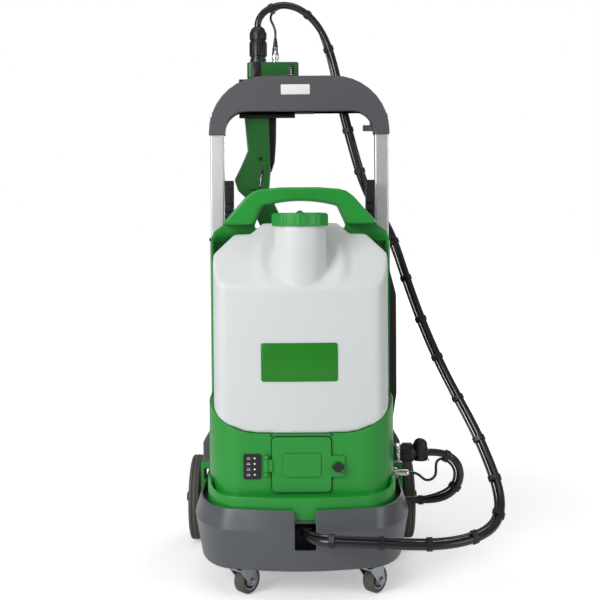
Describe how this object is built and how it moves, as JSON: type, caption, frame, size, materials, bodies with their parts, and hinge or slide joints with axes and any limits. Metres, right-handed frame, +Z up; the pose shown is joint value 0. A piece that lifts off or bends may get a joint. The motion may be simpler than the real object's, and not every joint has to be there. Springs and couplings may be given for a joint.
{
  "type": "backpack sprayer on a cart",
  "caption": "Battery sprayer pack with a translucent tank, docked on a wheeled cart whose push handle carries the spray gun, joined by a hose and cable.",
  "frame": {"origin": "on the floor under the middle of the cart's box, without hose and cable", "axes": "+Z up, +X to the right seen from the tank side, +Y towards the push handle"},
  "size_m": [0.59, 0.46, 1.0857],
  "materials": {
    "tub_grey": "satin moulded plastic",
    "alloy": "brushed",
    "steel": "zinc plated",
    "chrome": "polished",
    "black_plastic": "semi-gloss",
    "tyre": "matt rubber",
    "wheel_hub": "matt",
    "caster_hub": "satin",
    "charcoal": "satin",
    "green": "satin gloss",
    "gun_green": "satin gloss",
    "tank_white": "translucent natural polyethylene",
    "board": "lacquered",
    "seal": "matt",
    "webbing": "woven",
    "hose": "glossy black"
  },
  "bodies": {
    "cart": {"cart_base": "tub_grey", "underpan": "tub_grey", "base_screws": "steel", "tube_sockets": "tub_grey", "outer_tubes": "alloy", "tube_bushes": "black_plastic", "backrest_rails": "black_plastic", "rear_axle": "steel", "axle_caps": "black_plastic", "caster_plates": "steel", "hose_main": "hose", "hose_tail": "hose", "cable_main": "hose", "cable_tail": "hose"},
    "wheel_left": {"wheel_left_tyre": "tyre", "wheel_left_hub": "wheel_hub"},
    "wheel_right": {"wheel_right_tyre": "tyre", "wheel_right_hub": "wheel_hub"},
    "caster_left": {"caster_left_fork": "steel"},
    "caster_left_wheel": {"caster_left_tread": "tyre", "caster_left_hub": "caster_hub"},
    "caster_right": {"caster_right_fork": "steel"},
    "caster_right_wheel": {"caster_right_tread": "tyre", "caster_right_hub": "caster_hub"},
    "handle": {"inner_tubes": "alloy", "detent_plugs": "black_plastic", "crossbar_front": "charcoal", "crossbar_rear": "charcoal", "gun_holster": "black_plastic", "hose_top": "hose", "cable_top": "hose"},
    "release": {"release_button": "black_plastic"},
    "gun": {"gun_shell_front": "gun_green", "gun_shell_rear": "gun_green", "gun_base": "gun_green", "trigger_pin": "steel", "nozzle_collar": "black_plastic", "gland_body": "black_plastic", "gland_nut": "black_plastic", "cable_plug": "chrome"},
    "trigger": {"trigger": "black_plastic"},
    "backpack": {"back_frame": "green", "lower_housing": "green", "foot_tray": "green", "tank": "tank_white", "tank_outlet": "black_plastic", "door_pin": "steel", "battery_pack": "black_plastic", "pump": "black_plastic", "control_board": "board", "led_panel": "black_plastic", "side_port": "black_plastic", "port_elbow": "black_plastic", "cable_socket": "chrome", "back_pad": "webbing", "shoulder_straps": "webbing"},
    "door": {"battery_door": "green"},
    "knob": {"door_knob": "black_plastic"},
    "seal": {"cap_seal": "seal"},
    "cap": {"tank_cap": "green"}
  },
  "joints": [
    {"name": "handle_slide", "type": "slide", "parent": "cart", "child": "handle", "axis": [0, 0, 1], "range_m": [-0.18, 0], "deforming": ["hose_main", "cable_main"]},
    {"name": "button_press", "type": "slide", "parent": "handle", "child": "release", "axis": [0, 0, 1], "range_m": [0, 0.006], "stiffness_N_per_m": 500, "springref_m": -0.003},
    {"name": "gun_pull", "type": "slide", "parent": "handle", "child": "gun", "axis": [0, 1, 0], "range_m": [0, 0.09], "deforming": ["hose_top", "cable_top"]},
    {"name": "trigger_pull", "type": "hinge", "parent": "gun", "child": "trigger", "pos_m": [-0.063, 0.147, 0.744], "axis": [0, -1, 0], "range_deg": [0, 7], "stiffness_Nm_per_rad": 0.5, "springref_deg": -5.73},
    {"name": "wheel_left_spin", "type": "hinge", "parent": "cart", "child": "wheel_left", "pos_m": [-0.21, 0.1275, 0.0825], "axis": [1, 0, 0], "continuous": true},
    {"name": "wheel_right_spin", "type": "hinge", "parent": "cart", "child": "wheel_right", "pos_m": [0.21, 0.1275, 0.0825], "axis": [1, 0, 0], "continuous": true},
    {"name": "caster_left_swivel", "type": "hinge", "parent": "cart", "child": "caster_left", "pos_m": [-0.11, -0.168, 0.05], "axis": [0, 0, 1], "continuous": true},
    {"name": "caster_left_spin", "type": "hinge", "parent": "caster_left", "child": "caster_left_wheel", "pos_m": [-0.09528, -0.15165, 0.023], "axis": [-0.7431, 0.6691, 0], "continuous": true},
    {"name": "caster_right_swivel", "type": "hinge", "parent": "cart", "child": "caster_right", "pos_m": [0.11, -0.168, 0.05], "axis": [0, 0, 1], "continuous": true},
    {"name": "caster_right_spin", "type": "hinge", "parent": "caster_right", "child": "caster_right_wheel", "pos_m": [0.12472, -0.15165, 0.023], "axis": [-0.7431, 0.6691, 0], "continuous": true},
    {"name": "backpack_lift", "type": "slide", "parent": "cart", "child": "backpack", "axis": [0, 0, 1], "range_m": [0, 0.15], "deforming": ["hose_tail", "cable_tail"]},
    {"name": "door_hinge", "type": "hinge", "parent": "backpack", "child": "door", "pos_m": [-0.06, -0.168, 0.223], "axis": [0, 0, -1], "range_deg": [0, 115]},
    {"name": "knob_turn", "type": "hinge", "parent": "door", "child": "knob", "pos_m": [0.062, -0.17, 0.22], "axis": [0, 1, 0], "range_deg": [0, 90]},
    {"name": "cap_lift", "type": "slide", "parent": "backpack", "child": "seal", "axis": [0, 0, 1], "range_m": [0, 0.0201]},
    {"name": "cap_turn", "type": "hinge", "parent": "seal", "child": "cap", "pos_m": [0, -0.112, 0.64], "axis": [0, 0, 1], "range_deg": [0, 720]}
  ],
  "couplings": [
    {"joint": "cap_lift", "follows": "cap_turn", "m_per_rad": 0.0015915}
  ]
}
